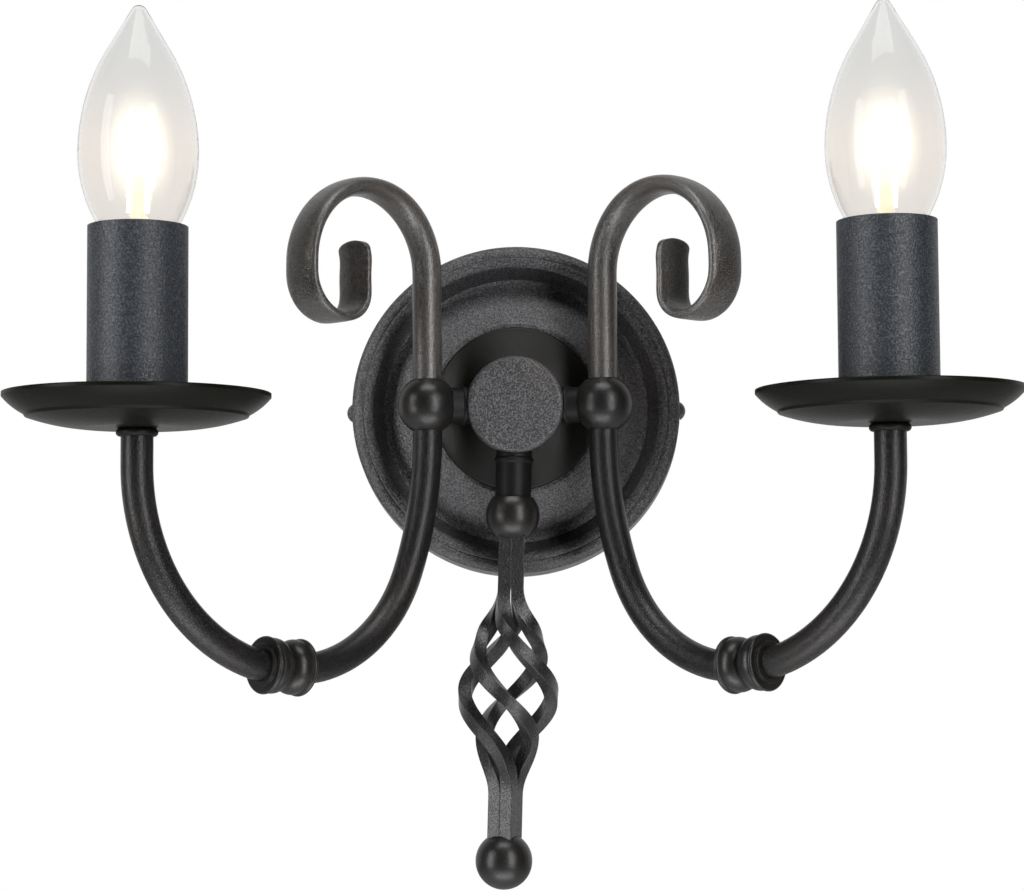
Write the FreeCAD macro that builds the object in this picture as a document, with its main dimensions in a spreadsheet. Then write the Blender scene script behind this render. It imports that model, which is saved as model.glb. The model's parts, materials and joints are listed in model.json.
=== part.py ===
import FreeCAD, Part
import math
import os
import Sketcher

# A two-candle wall lamp. The wall is the XZ plane, the front looks along -Y and Z is up.
# The origin is on the wall behind the centre of the hub. Lengths are in millimetres, angles in degrees.

DRIVING_SIZES = {
    # Fits that every piece shares
    "fit_gap": 0.05,
    "running_gap": 0.3,
    "overrun": 1.0,
    # Canopy, spun from sheet
    "canopy_radius": 54.7,
    "canopy_wall": 1.2,
    "skirt_depth": 19.5,
    "skirt_inset": 0.9,
    "bead_width": 3.6,
    "bead_rise": 1.8,
    "bead_curve": 3.4,
    "crease_width": 0.5,
    "crease_sink": 0.25,
    "ring_width": 2.9,
    "ring_fall": 0.8,
    "ring_curve": 3.2,
    "groove_drop": 7.8,
    "groove_wall_run": 3.2,
    "cove_run": 2.6,
    "cove_rise": 0.75,
    "cove_curve": 4.1,
    "shoulder_curve": 100.0,
    "shoulder_slope_angle": 35.0,
    "canopy_floor_radius": 28.0,
    "canopy_floor_depth": 22.0,
    # Hub cone and boss
    "cone_radius": 26.8,
    "cone_lip": 0.5,
    "cone_edge_run": 1.1,
    "cone_edge_rise": 1.1,
    "cone_edge_curve": 1.3,
    "cone_height": 6.0,
    "cone_thread_depth": 3.0,
    "boss_radius": 15.6,
    "boss_length": 13.0,
    "boss_wall": 3.8,
    "boss_front": 2.5,
    "boss_edge": 1.7,
    "boss_seat": 2.0,
    "boss_seat_wall": 2.9,
    # Hollow threaded rods and their nuts
    "hub_nipple_radius": 5.0,
    "hub_nipple_bore": 3.4,
    "hub_nipple_tail": 4.6,
    "hub_nut_flats": 14.0,
    "hub_nut_height": 3.0,
    "candle_nipple_radius": 4.0,
    "candle_nipple_bore": 2.6,
    "candle_nipple_engage": 7.5,
    "nipple_nut_flats": 12.0,
    "nipple_nut_height": 3.0,
    # Side and lower necks with their balls
    "ball_out": 28.2,
    "ball_depth": 38.0,
    "ball_radius": 9.5,
    "ball_seat": 4.2,
    "neck_radius": 6.3,
    "neck_ring_width": 2.0,
    "neck_ring_curve": 1.2,
    "neck_waist_radius": 5.75,
    "neck_waist_run": 1.0,
    "neck_tilt": 16.5,
    "neck_spigot_radius": 4.0,
    "neck_spigot_length": 3.0,
    "neck_bore": 1.9,
    "finial_depth": 34.0,
    "finial_ball_radius": 8.65,
    "finial_ball_drop": 35.3,
    "finial_end_radius": 9.05,
    "finial_end_drop": 145.4,
    "finial_tilt": 1.8,
    # Arm tube and its knuckle
    "arm_azimuth": 45.0,
    "tube_radius": 4.7,
    "tube_wall": 1.2,
    "arm_drop": 9.7,
    "arm_sweep_radius": 115.0,
    "arm_sweep_angle": 22.5,
    "arm_bow_radius": 48.0,
    "arm_bow_angle": 80.0,
    "arm_lead_radius": 26.6,
    "knuckle_tilt": 4.5,
    "knuckle_length": 16.5,
    "knuckle_shoulder": 1.0,
    "knuckle_lip_width": 0.9,
    "knuckle_lip_radius": 6.4,
    "knuckle_ring_width": 1.5,
    "knuckle_ring_radius": 8.75,
    "knuckle_groove_width": 0.4,
    "knuckle_groove_radius": 8.2,
    "knuckle_waist_radius": 5.9,
    "knuckle_bulge_curve": 4.6,
    "arm_kick_radius": 15.0,
    "arm_kick_angle": 18.0,
    "arm_lift_radius": 60.2352,
    "arm_rise": 10.6131,
    # Scroll above the ball
    "scroll_rise": 41.9,
    "scroll_crown_radius": 25.6,
    "scroll_fall_radius": 26.2,
    "scroll_fall": 2.9,
    "scroll_curl_radius": 13.5,
    "scroll_inner_radius": 8.0,
    "scroll_tongue": 17.0,
    "scroll_crown_width": 12.6,
    "scroll_crown_thickness": 5.8,
    "scroll_strip_width": 14.0,
    "scroll_strip_thickness": 4.3,
    "scroll_tongue_width": 14.1,
    "scroll_tongue_thickness": 2.6,
    "scroll_tongue_dome": 3.8,
    # Drip pan, its collar and the candle sleeve
    "pan_radius": 38.5,
    "pan_rim_drop": 4.1,
    "pan_wall": 1.1,
    "pan_flange_run": 6.1,
    "pan_flange_fall": 4.9,
    "pan_flange_curve": 20.0,
    "pan_step_run": 0.5,
    "pan_step_fall": 0.8,
    "pan_dish_curve": 60.0,
    "pan_floor_radius": 15.5,
    "pan_floor_fall": 8.9,
    "collar_radius": 6.1,
    "collar_height": 2.3,
    "collar_bulge": 0.8,
    "sleeve_radius": 14.5,
    "sleeve_wall": 1.2,
    "sleeve_top": 45.4,
    # Lampholder
    "holder_radius": 11.7,
    "holder_bore": 8.2,
    "holder_neck_radius": 6.5,
    "holder_neck_height": 6.0,
    "holder_floor": 3.0,
    "holder_top": 33.0,
    "holder_rib_radius": 13.2,
    "holder_rib_width": 2.0,
    "holder_rib_height": 16.0,
    "shell_sheet": 0.35,
    "contact_width": 4.0,
    "contact_half_length": 5.0,
    "contact_sheet": 0.6,
    "contact_inset": 2.0,
    # Candle bulb
    "bulb_seat_height": 12.5,
    "bulb_length": 98.0,
    "bulb_wall": 0.8,
    "bulb_belly_radius": 17.45,
    "bulb_belly_height": 54.3,
    "bulb_belly_curve": 41.7,
    "bulb_shoulder_radius": 12.2,
    "bulb_shoulder_height": 34.1,
    "bulb_neck_radius": 6.5,
    "bulb_neck_foot": 21.0,
    "bulb_taper_radius": 8.2,
    "bulb_taper_drop": 11.6,
    "bulb_taper_curve": 60.3,
    "bulb_nose_radius": 2.2,
    "bulb_nose_drop": 1.3,
    "cap_radius": 6.95,
    "cap_root_radius": 6.35,
    "cap_pitch": 2.82,
    "cap_thread_foot": 5.0,
    "cap_thread_count": 5,
    "cap_top": 26.0,
    "cap_sheet": 0.3,
    "eyelet_radius": 2.2,
    "eyelet_height": 1.2,
    "stem_foot_radius": 5.4,
    "stem_foot_height": 23.0,
    "stem_neck_radius": 2.2,
    "stem_neck_height": 33.0,
    "stem_top_height": 48.0,
    "wire_foot_rise": 4.0,
    "filament_radius": 0.45,
    "filament_spread": 5.0,
    "filament_top_height": 68.0,
    "filament_bend": 1.0,
    # Square bars of the finial cage
    "bar_side": 4.15,
    "bar_socket": 3.2,
    "cage_top_drop": 58.0,
    "cage_length": 66.5,
    "cage_radius": 14.0,
    "cage_twist_angle": 245.0,
    # Wall bracket and screws
    "bracket_ear_gap": 1.5,
    "bracket_width": 16.0,
    "bracket_sheet": 1.5,
    "bracket_ear_depth": 13.0,
    "bracket_bend": 2.0,
    "slot_offset": 35.0,
    "slot_half_run": 4.0,
    "slot_radius": 2.5,
    "entry_radius": 4.5,
    "canopy_screw_radius": 2.0,
    "canopy_screw_length": 9.0,
    "canopy_screw_depth": 8.0,
    "screw_head_radius": 3.0,
    "screw_head_height": 1.8,
    "screw_slot_width": 0.8,
    "screw_slot_depth": 0.6,
    "earth_screw_offset": 16.0,
    "earth_screw_radius": 2.0,
    "earth_head_radius": 3.5,
    "earth_head_height": 2.2,
    "earth_screw_tip": 0.5,
    # Terminal block
    "block_near": 6.5,
    "block_length": 17.0,
    "block_height": 10.5,
    "pole_pitch": 8.0,
    "pole_count": 3,
    "pole_margin": 4.0,
    "barrel_radius": 2.6,
    "barrel_bore": 1.6,
    "barrel_inset": 1.5,
    "terminal_screw_radius": 1.5,
    "terminal_screw_inset": 3.5,
    "terminal_screw_length": 3.6,
    # Leads
    "lead_radius": 1.2,
    "lead_apart": 1.4,
    "lead_block_bend": 3.5,
    "lead_entry_bend": 8.0,
    "lead_hub_bend": 5.0,
    "lead_ball_bend": 3.8,
    "lead_end_engage": 2.5,
    "lead_top": 1.6,
}

# The share of the cage's length at each end over which the twist starts and stops
TWIST_EASE_SHARE = 0.15
# How far along the cage a bar starts and ends turning its flat face outwards
FACE_TURN_START_SHARE = 0.12
FACE_TURN_END_SHARE = 0.30
# The power that rounds a scroll section: a circle at 2, and nearer a rectangle as it grows
ROUND_POWER = 2.0
OVAL_POWER = 2.5
FLAT_POWER = 4.0
SCROLL_SECTION_COUNT = 36
SECTION_POINT_COUNT = 24
BAR_SECTION_COUNT = 42

document = FreeCAD.newDocument("wall_lamp")
sheet = document.addObject("Spreadsheet::Sheet", "Sizes")
for row, (alias, amount) in enumerate(DRIVING_SIZES.items(), start=1):
    sheet.set("A%d" % row, alias)
    sheet.set("B%d" % row, str(amount))
    sheet.setAlias("B%d" % row, alias)
document.recompute()


class Size:
    """A size read from the sheet or worked out of such sizes: its value, and the expression that gives it."""

    def __init__(self, value, text):
        self.value = float(value)
        self.text = text

    def __add__(self, other):
        return combine(self, "+", other, self.value + value_of(other))

    def __radd__(self, other):
        return combine(other, "+", self, value_of(other) + self.value)

    def __sub__(self, other):
        return combine(self, "-", other, self.value - value_of(other))

    def __rsub__(self, other):
        return combine(other, "-", self, value_of(other) - self.value)

    def __mul__(self, other):
        return combine(self, "*", other, self.value * value_of(other))

    def __rmul__(self, other):
        return combine(other, "*", self, value_of(other) * self.value)

    def __truediv__(self, other):
        return combine(self, "/", other, self.value / value_of(other))

    def __neg__(self):
        return Size(-self.value, "(0 - %s)" % self.text)


def value_of(size):
    return size.value if isinstance(size, Size) else float(size)


def text_of(size):
    return size.text if isinstance(size, Size) else repr(size)


def combine(first, sign, second, value):
    return Size(value, "(%s %s %s)" % (text_of(first), sign, text_of(second)))


def sine(angle):
    return Size(math.sin(math.radians(angle.value)), "sin(%s)" % angle.text)


def cosine(angle):
    return Size(math.cos(math.radians(angle.value)), "cos(%s)" % angle.text)


def root(size):
    return Size(math.sqrt(size.value), "sqrt(%s)" % size.text)


class SheetSizes:
    """Every driving size of the sheet, by its alias."""

    def __init__(self):
        for alias in DRIVING_SIZES:
            setattr(self, alias, Size(sheet.get(alias), "Sizes." + alias))


lamp = SheetSizes()
SIDES = (("left", -1), ("right", 1))
X_AXIS = "vector(1; 0; 0)"
Y_AXIS = "vector(0; 1; 0)"
Z_AXIS = "vector(0; 0; 1)"
QUARTER = Size(90, "90")
HALF = Size(180, "180")
FORWARD = (X_AXIS, QUARTER)


# Helpers that draw sketches and features

def new_body(label):
    return document.addObject("PartDesign::Body", label)


def origin_plane(body, role):
    for feature in body.Origin.OriginFeatures:
        if feature.Role == role:
            return feature
    raise ValueError(role)


def new_sketch(body, name, role, offset=None):
    sketch = body.newObject("Sketcher::SketchObject", name)
    sketch.AttachmentSupport = [(origin_plane(body, role), "")]
    sketch.MapMode = "FlatFace"
    if offset is not None:
        sketch.setExpression("AttachmentOffset.Base.z", offset.text)
    return sketch


def bind_point(sketch, geometry, end, place):
    for kind, size in zip(("DistanceX", "DistanceY"), place):
        index = sketch.addConstraint(Sketcher.Constraint(kind, -1, 1, geometry, end, value_of(size)))
        sketch.setExpression("Constraints[%d]" % index, text_of(size))


def circle_centre(first, second, radius, side):
    """Centre of the arc from first to second: on the left of the way at side 1, on the right at -1."""
    across = second - first
    half = across.Length / 2
    lift = math.sqrt(max(radius * radius - half * half, 0))
    normal = FreeCAD.Vector(-across.y, across.x, 0).normalize()
    return (first + second) * 0.5 + normal * (lift * side)


def outline(body, name, role, corners, closed=True, offset=None):
    """Straight sides and arcs from corner to corner. A corner is (x, y), or (x, y, radius, side) if an arc leaves it."""
    sketch = new_sketch(body, name, role, offset)
    following = corners[1:] + corners[:1] if closed else corners[1:]
    ends = []
    for here, there in zip(corners, following):
        first = FreeCAD.Vector(value_of(here[0]), value_of(here[1]), 0)
        second = FreeCAD.Vector(value_of(there[0]), value_of(there[1]), 0)
        if len(here) == 2:
            index = sketch.addGeometry(Part.LineSegment(first, second), False)
            ends.append((index, 1, 2))
            continue
        radius = here[2].value
        side = here[3]
        centre = circle_centre(first, second, radius, side)
        circle = Part.Circle(centre, FreeCAD.Vector(0, 0, 1), radius)
        start, stop = (first, second) if side > 0 else (second, first)
        start_angle = math.atan2(start.y - centre.y, start.x - centre.x)
        stop_angle = math.atan2(stop.y - centre.y, stop.x - centre.x)
        index = sketch.addGeometry(Part.ArcOfCircle(circle, start_angle, stop_angle), False)
        ends.append((index, 1, 2) if side > 0 else (index, 2, 1))
        held = sketch.addConstraint(Sketcher.Constraint("Radius", index, radius))
        sketch.setExpression("Constraints[%d]" % held, here[2].text)
    for (index, near, far), here in zip(ends, corners):
        bind_point(sketch, index, near, here)
    joined = zip(ends, ends[1:] + ends[:1]) if closed else zip(ends, ends[1:])
    for (index, near, far), (next_index, next_near, next_far) in joined:
        sketch.addConstraint(Sketcher.Constraint("Coincident", index, far, next_index, next_near))
    if not closed:
        bind_point(sketch, ends[-1][0], ends[-1][2], corners[-1])
    return sketch


def rings(body, name, role, places, radii, offset=None):
    """Circles of each radius about each place."""
    sketch = new_sketch(body, name, role, offset)
    for x, y in places:
        for radius in radii:
            centre = FreeCAD.Vector(value_of(x), value_of(y), 0)
            index = sketch.addGeometry(Part.Circle(centre, FreeCAD.Vector(0, 0, 1), radius.value), False)
            bind_point(sketch, index, 3, (x, y))
            held = sketch.addConstraint(Sketcher.Constraint("Radius", index, radius.value))
            sketch.setExpression("Constraints[%d]" % held, radius.text)
    return sketch


def turned(label, corners, axis="V_Axis"):
    """A body of revolution about its own Z, or about its own X when the axis is H_Axis."""
    body = new_body(label)
    turn = body.newObject("PartDesign::Revolution", label + "_turning")
    turn.Profile = outline(body, label + "_outline", "XZ_Plane", corners)
    turn.ReferenceAxis = (turn.Profile[0], [axis])
    return body


def padded(label, sketch_of, height, symmetric=False):
    """A body raised from the sketch that sketch_of draws in it."""
    body = new_body(label)
    pad = body.newObject("PartDesign::Pad", label + "_pad")
    pad.Profile = sketch_of(body)
    pad.setExpression("Length", height.text)
    if symmetric:
        pad.SideType = "Symmetric"
    return body


def dome_curve(reach, rise):
    """Radius of the dome of that rise over a flat of that reach."""
    return (reach * reach + rise * rise) / (2 * rise)


cutting_features = []


def pocket(body, name, sketch, depth=None, symmetric=False, backwards=False):
    document.recompute()
    before = body.Shape.Volume
    feature = body.newObject("PartDesign::Pocket", name)
    feature.Profile = sketch
    if depth is None:
        feature.Type = "ThroughAll"
    else:
        feature.setExpression("Length", depth.text)
    if symmetric:
        feature.SideType = "Symmetric"
    feature.Reversed = backwards
    cutting_features.append((feature, before))


def groove(body, name, corners, axis="H_Axis"):
    document.recompute()
    before = body.Shape.Volume
    feature = body.newObject("PartDesign::Groove", name)
    feature.Profile = outline(body, name + "_outline", "XZ_Plane", corners)
    feature.ReferenceAxis = (feature.Profile[0], [axis])
    cutting_features.append((feature, before))


def piped(label, path, role, centre, radii, offset):
    """A tube swept along an open outline, from a ring at the outline's first corner."""
    body = new_body(label)
    pipe = body.newObject("PartDesign::AdditivePipe", label + "_sweep")
    pipe.Profile = rings(body, label + "_ring", role, [centre], radii, offset)
    pipe.Spine = (outline(body, label + "_path", "XZ_Plane", path, closed=False), [""])
    return body


def put(thing, x, y, z, *turns):
    """Place a piece at x, y, z. The first turn in the list is the last one made."""
    rotation = " * ".join("rotation(%s; %s)" % (axis, text_of(angle)) for axis, angle in turns)
    if not turns:
        rotation = "rotation(%s; 0)" % Z_AXIS
    place = "; ".join(text_of(size) for size in (x, y, z))
    thing.setExpression("Placement", "placement(vector(%s); %s)" % (place, rotation))


def placement_of(x, y, z, *turns):
    """The same place as put gives, worked out now for a shape that is made in code."""
    axes = {X_AXIS: FreeCAD.Vector(1, 0, 0), Y_AXIS: FreeCAD.Vector(0, 1, 0), Z_AXIS: FreeCAD.Vector(0, 0, 1)}
    rotation = FreeCAD.Rotation()
    for axis, angle in turns:
        rotation = rotation.multiply(FreeCAD.Rotation(axes[axis], value_of(angle)))
    return FreeCAD.Placement(FreeCAD.Vector(value_of(x), value_of(y), value_of(z)), rotation)


def cylinder(name, radius, height):
    solid = document.addObject("Part::Cylinder", name)
    solid.setExpression("Radius", radius.text)
    solid.setExpression("Height", height.text)
    return solid


def cut(label, base, tools):
    """The base piece less the tools."""
    tool = tools[0]
    if len(tools) > 1:
        tool = document.addObject("Part::MultiFuse", label + "_cutters")
        tool.Shapes = tools
    result = document.addObject("Part::Cut", label)
    result.Base = base
    result.Tool = tool
    return result


def coded(label, shape, placement):
    piece = document.addObject("Part::Feature", label)
    piece.Shape = shape
    piece.Placement = placement
    return piece


pieces = []

# Canopy: depths are measured from the wall along the body's own Z

ring_depth = lamp.skirt_depth + lamp.bead_rise
skirt_top_radius = lamp.canopy_radius - lamp.skirt_inset
bead_inner_radius = skirt_top_radius - lamp.bead_width
ring_outer_radius = bead_inner_radius - lamp.crease_width
ring_inner_radius = ring_outer_radius - lamp.ring_width
cove_outer_radius = ring_inner_radius - lamp.groove_wall_run
cove_inner_radius = cove_outer_radius - lamp.cove_run
groove_depth = ring_depth - lamp.groove_drop
cove_depth = groove_depth + lamp.cove_rise
screw_hole_radius = lamp.canopy_screw_radius + 2 * lamp.fit_gap
head_edge_depth = lamp.canopy_screw_depth - lamp.screw_head_radius
skirt_radius_at_head = lamp.canopy_radius - lamp.skirt_inset * head_edge_depth / lamp.skirt_depth


def make_canopy():
    wall = lamp.canopy_wall
    lean = sine(lamp.shoulder_slope_angle)
    stand = cosine(lamp.shoulder_slope_angle)
    body = turned("backplate", [
        (lamp.canopy_radius, 0),
        (skirt_top_radius, lamp.skirt_depth, lamp.bead_curve, 1),
        (bead_inner_radius, ring_depth),
        (bead_inner_radius - lamp.crease_width / 2, ring_depth - lamp.crease_sink),
        (ring_outer_radius, ring_depth, lamp.ring_curve, 1),
        (ring_inner_radius, ring_depth - lamp.ring_fall),
        (cove_outer_radius, groove_depth, lamp.cove_curve, -1),
        (cove_inner_radius, cove_depth, lamp.shoulder_curve, 1),
        (lamp.canopy_floor_radius, lamp.canopy_floor_depth),
        (lamp.hub_nipple_radius + lamp.fit_gap, lamp.canopy_floor_depth),
        (lamp.hub_nipple_radius + lamp.fit_gap, lamp.canopy_floor_depth - wall),
        (lamp.canopy_floor_radius, lamp.canopy_floor_depth - wall, lamp.shoulder_curve - wall, -1),
        (cove_inner_radius - wall * lean, cove_depth - wall * stand, lamp.cove_curve + wall, 1),
        (cove_outer_radius + wall / 2, groove_depth - wall),
        (ring_inner_radius + wall, ring_depth - lamp.ring_fall - wall),
        (bead_inner_radius, ring_depth - lamp.crease_sink - wall),
        (skirt_top_radius - wall, lamp.skirt_depth - wall / 2),
        (lamp.canopy_radius - wall, 0),
    ])
    holes = rings(body, "skirt_hole", "YZ_Plane", [(0, lamp.canopy_screw_depth)], [screw_hole_radius])
    pocket(body, "skirt_holes", holes, symmetric=True)
    put(body, 0, 0, 0, FORWARD)
    pieces.append(body)


make_canopy()

# Hub: cone, boss, hollow rod and nut

cone_front = lamp.canopy_floor_depth + lamp.cone_height
boss_face = cone_front + lamp.boss_length
boss_bore = lamp.boss_radius - lamp.boss_wall
cone_well_depth = lamp.canopy_floor_depth + lamp.cone_thread_depth
side_axis_depth = lamp.ball_depth - lamp.ball_out * sine(lamp.neck_tilt) / cosine(lamp.neck_tilt)


def finial_spot(drop):
    """A place that far down the finial's line, which leans a little to the left, as seen from the front."""
    return -drop * sine(lamp.finial_tilt), -lamp.finial_depth, -drop * cosine(lamp.finial_tilt)


LEANING = (Y_AXIS, lamp.finial_tilt)


def make_hub():
    seat = boss_bore - lamp.fit_gap
    thread = lamp.hub_nipple_radius + lamp.fit_gap
    edge_radius = lamp.cone_radius - lamp.cone_edge_run
    cone = turned("hub_cone", [
        (thread, lamp.canopy_floor_depth),
        (lamp.cone_radius, lamp.canopy_floor_depth),
        (lamp.cone_radius, lamp.canopy_floor_depth + lamp.cone_lip, lamp.cone_edge_curve, 1),
        (edge_radius, lamp.canopy_floor_depth + lamp.cone_lip + lamp.cone_edge_rise),
        (lamp.boss_radius, cone_front),
        (seat, cone_front),
        (seat, cone_front + lamp.boss_seat),
        (seat - lamp.boss_seat_wall, cone_front + lamp.boss_seat),
        (seat - lamp.boss_seat_wall, cone_well_depth),
        (thread, cone_well_depth),
    ])
    put(cone, 0, 0, 0, FORWARD)
    boss = turned("hub_boss_blank", [
        (boss_bore, cone_front),
        (lamp.boss_radius, cone_front),
        (lamp.boss_radius, boss_face - lamp.boss_edge, lamp.boss_edge, 1),
        (lamp.boss_radius - lamp.boss_edge, boss_face),
        (0, boss_face),
        (0, boss_face - lamp.boss_front),
        (boss_bore, boss_face - lamp.boss_front),
    ])
    put(boss, 0, 0, 0, FORWARD)
    hole_radius = lamp.neck_spigot_radius + lamp.fit_gap
    drills = []
    for side, sign in SIDES:
        drill = cylinder("boss_hole_" + side, hole_radius, lamp.ball_out)
        put(drill, 0, -side_axis_depth, 0, (Z_AXIS, -lamp.neck_tilt * sign), (Y_AXIS, QUARTER * sign))
        drills.append(drill)
    drill = cylinder("boss_hole_lower", hole_radius, lamp.boss_radius + lamp.overrun)
    put(drill, 0, -lamp.finial_depth, 0, LEANING, (X_AXIS, HALF))
    drills.append(drill)
    nipple_back = lamp.canopy_floor_depth - lamp.canopy_wall - lamp.hub_nipple_tail
    nipple = turned("hub_nipple", [
        (lamp.hub_nipple_bore, nipple_back),
        (lamp.hub_nipple_radius, nipple_back),
        (lamp.hub_nipple_radius, cone_well_depth - lamp.fit_gap),
        (lamp.hub_nipple_bore, cone_well_depth - lamp.fit_gap),
    ])
    put(nipple, 0, 0, 0, FORWARD)
    nut_front = lamp.canopy_floor_depth - lamp.canopy_wall - lamp.fit_gap
    nut = hexagon_nut("hub_nut", lamp.hub_nut_flats, lamp.hub_nut_height, thread)
    put(nut, 0, -nut_front + lamp.hub_nut_height, 0, FORWARD)
    pieces.extend([cone, cut("hub_boss", boss, drills), nipple, nut])


def hexagon_nut(label, flats, height, bore):
    corner_radius = flats / 2 / cosine(Size(30, "30"))
    corners = []
    for step in range(6):
        angle = Size(60 * step, str(60 * step))
        corners.append((corner_radius * cosine(angle), corner_radius * sine(angle)))
    nut = padded(label, lambda body: outline(body, label + "_hexagon", "XY_Plane", corners), height)
    pocket(nut, label + "_bore", rings(nut, label + "_hole", "XY_Plane", [(0, 0)], [bore]), symmetric=True)
    return nut


make_hub()

# Necks: turned about their own X, from the ball's centre towards the boss

ball_flat = root(lamp.ball_radius * lamp.ball_radius - lamp.neck_radius * lamp.neck_radius) - lamp.fit_gap


def neck_outline(near, far):
    """The neck from the ball's flat at near, past the boss's side at far, into the boss."""
    ring_far = far - lamp.neck_waist_run
    ring_near = ring_far - lamp.neck_ring_width
    inner_end = far + lamp.boss_wall
    return [
        (near - lamp.neck_spigot_length, lamp.neck_bore),
        (near - lamp.neck_spigot_length, lamp.neck_spigot_radius),
        (near, lamp.neck_spigot_radius),
        (near, lamp.neck_waist_radius),
        (ring_near, lamp.neck_waist_radius, lamp.neck_ring_curve, -1),
        (ring_far, lamp.neck_waist_radius),
        (inner_end, lamp.neck_waist_radius),
        (inner_end, lamp.neck_bore),
    ]


def make_neck(side, near, far, place):
    blank = turned("stub_%s_blank" % side, neck_outline(near, far), "H_Axis")
    put(blank, *place)
    face = cylinder("stub_%s_face" % side, lamp.boss_radius + lamp.fit_gap, boss_face)
    put(face, 0, 0, 0, FORWARD)
    necked = cut("stub_%s_neck" % side, blank, [face])
    spigot = turned("stub_%s_spigot" % side, [
        (far - lamp.neck_waist_run - lamp.neck_ring_width, lamp.neck_bore),
        (far - lamp.neck_waist_run - lamp.neck_ring_width, lamp.neck_spigot_radius),
        (far + lamp.boss_wall, lamp.neck_spigot_radius),
        (far + lamp.boss_wall, lamp.neck_bore),
    ], "H_Axis")
    put(spigot, *place)
    stub = document.addObject("Part::MultiFuse", "stub_" + side)
    stub.Shapes = [necked, spigot]
    pieces.append(stub)


side_far = (lamp.ball_out - lamp.boss_radius * cosine(lamp.neck_tilt)) / cosine(lamp.neck_tilt)
for side, sign in SIDES:
    heading = HALF - lamp.neck_tilt if sign > 0 else lamp.neck_tilt
    place = (lamp.ball_out * sign, -lamp.ball_depth, 0, (Z_AXIS, heading))
    make_neck(side, ball_flat, side_far, place)
finial_flat = root(lamp.finial_ball_radius * lamp.finial_ball_radius - lamp.neck_radius * lamp.neck_radius)
lower_place = (*finial_spot(lamp.finial_ball_drop), (Y_AXIS, lamp.finial_tilt - QUARTER))
make_neck("lower", finial_flat - lamp.fit_gap, lamp.finial_ball_drop - lamp.boss_radius, lower_place)

# Side balls: bored upright for the tubes and sideways for the neck

seat_radius = lamp.tube_radius + lamp.fit_gap
tube_bore = lamp.tube_radius - lamp.tube_wall
seat_edge = root(lamp.ball_radius * lamp.ball_radius - seat_radius * seat_radius)


def neck_socket(flat, ball_radius, bottom):
    """Stepped hole for a neck, from bottom out past the ball's surface, about the body's own X."""
    step = flat - lamp.neck_spigot_length - lamp.fit_gap
    return [
        (bottom, 0),
        (bottom, lamp.neck_bore + lamp.fit_gap * 4),
        (step, lamp.neck_bore + lamp.fit_gap * 4),
        (step, lamp.neck_spigot_radius + lamp.fit_gap),
        (flat - lamp.fit_gap, lamp.neck_spigot_radius + lamp.fit_gap),
        (flat - lamp.fit_gap, lamp.neck_radius + lamp.fit_gap),
        (ball_radius + lamp.overrun, lamp.neck_radius + lamp.fit_gap),
        (ball_radius + lamp.overrun, 0),
    ]


def make_side_balls():
    for side, sign in SIDES:
        ball = turned("ball_" + side, [
            (tube_bore, lamp.ball_seat),
            (seat_radius, lamp.ball_seat),
            (seat_radius, seat_edge, lamp.ball_radius, -1),
            (seat_radius, -seat_edge),
            (seat_radius, -lamp.ball_seat),
            (tube_bore, -lamp.ball_seat),
        ])
        groove(ball, "ball_%s_socket" % side, neck_socket(ball_flat, lamp.ball_radius, Size(0, "0")))
        heading = HALF - lamp.neck_tilt if sign > 0 else lamp.neck_tilt
        put(ball, lamp.ball_out * sign, -lamp.ball_depth, 0, (Z_AXIS, heading))
        pieces.append(ball)


make_side_balls()

# Arm tubes: drawn in their own upright plane, X outwards and Z up from the ball's centre

seat_drop = lamp.ball_seat + lamp.fit_gap
seat_engage = lamp.knuckle_length / 2 - lamp.knuckle_shoulder - lamp.fit_gap
rise_turn = QUARTER + lamp.knuckle_tilt


def arm_bend(out, up, radius, start, stop):
    """Where a bend ends that turns the downward way from angle start to angle stop, seen from straight down."""
    return out + radius * (cosine(start) - cosine(stop)), up - radius * (sine(stop) - sine(start))


sweep_out, sweep_up = arm_bend(Size(0, "0"), -lamp.arm_drop, lamp.arm_sweep_radius, Size(0, "0"), lamp.arm_sweep_angle)
bow_out, bow_up = arm_bend(sweep_out, sweep_up, lamp.arm_bow_radius, lamp.arm_sweep_angle, lamp.arm_bow_angle)
lead_out, lead_up = arm_bend(bow_out, bow_up, lamp.arm_lead_radius, lamp.arm_bow_angle, rise_turn)
knuckle_run = lamp.knuckle_length * cosine(lamp.knuckle_tilt)
knuckle_climb = lamp.knuckle_length * sine(lamp.knuckle_tilt)
exit_out = lead_out + knuckle_run
exit_up = lead_up + knuckle_climb
kick_end_turn = QUARTER + lamp.arm_kick_angle
kick_out, kick_up = arm_bend(exit_out, exit_up, lamp.arm_kick_radius, rise_turn, kick_end_turn)
candle_reach, lift_up = arm_bend(kick_out, kick_up, lamp.arm_lift_radius, kick_end_turn, HALF)
tube_level = lift_up + lamp.arm_rise
pan_floor_drop = lamp.pan_rim_drop + lamp.pan_floor_fall
tube_top = -(pan_floor_drop + lamp.fit_gap)
candle_level = tube_level - tube_top
candle_out = lamp.ball_out + candle_reach * cosine(lamp.arm_azimuth)
candle_depth = lamp.ball_depth + candle_reach * sine(lamp.arm_azimuth)
knuckle_end_share = seat_engage / lamp.knuckle_length
inner_end = (lead_out + knuckle_run * knuckle_end_share, lead_up + knuckle_climb * knuckle_end_share)
outer_end = (exit_out - knuckle_run * knuckle_end_share, exit_up - knuckle_climb * knuckle_end_share)

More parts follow.
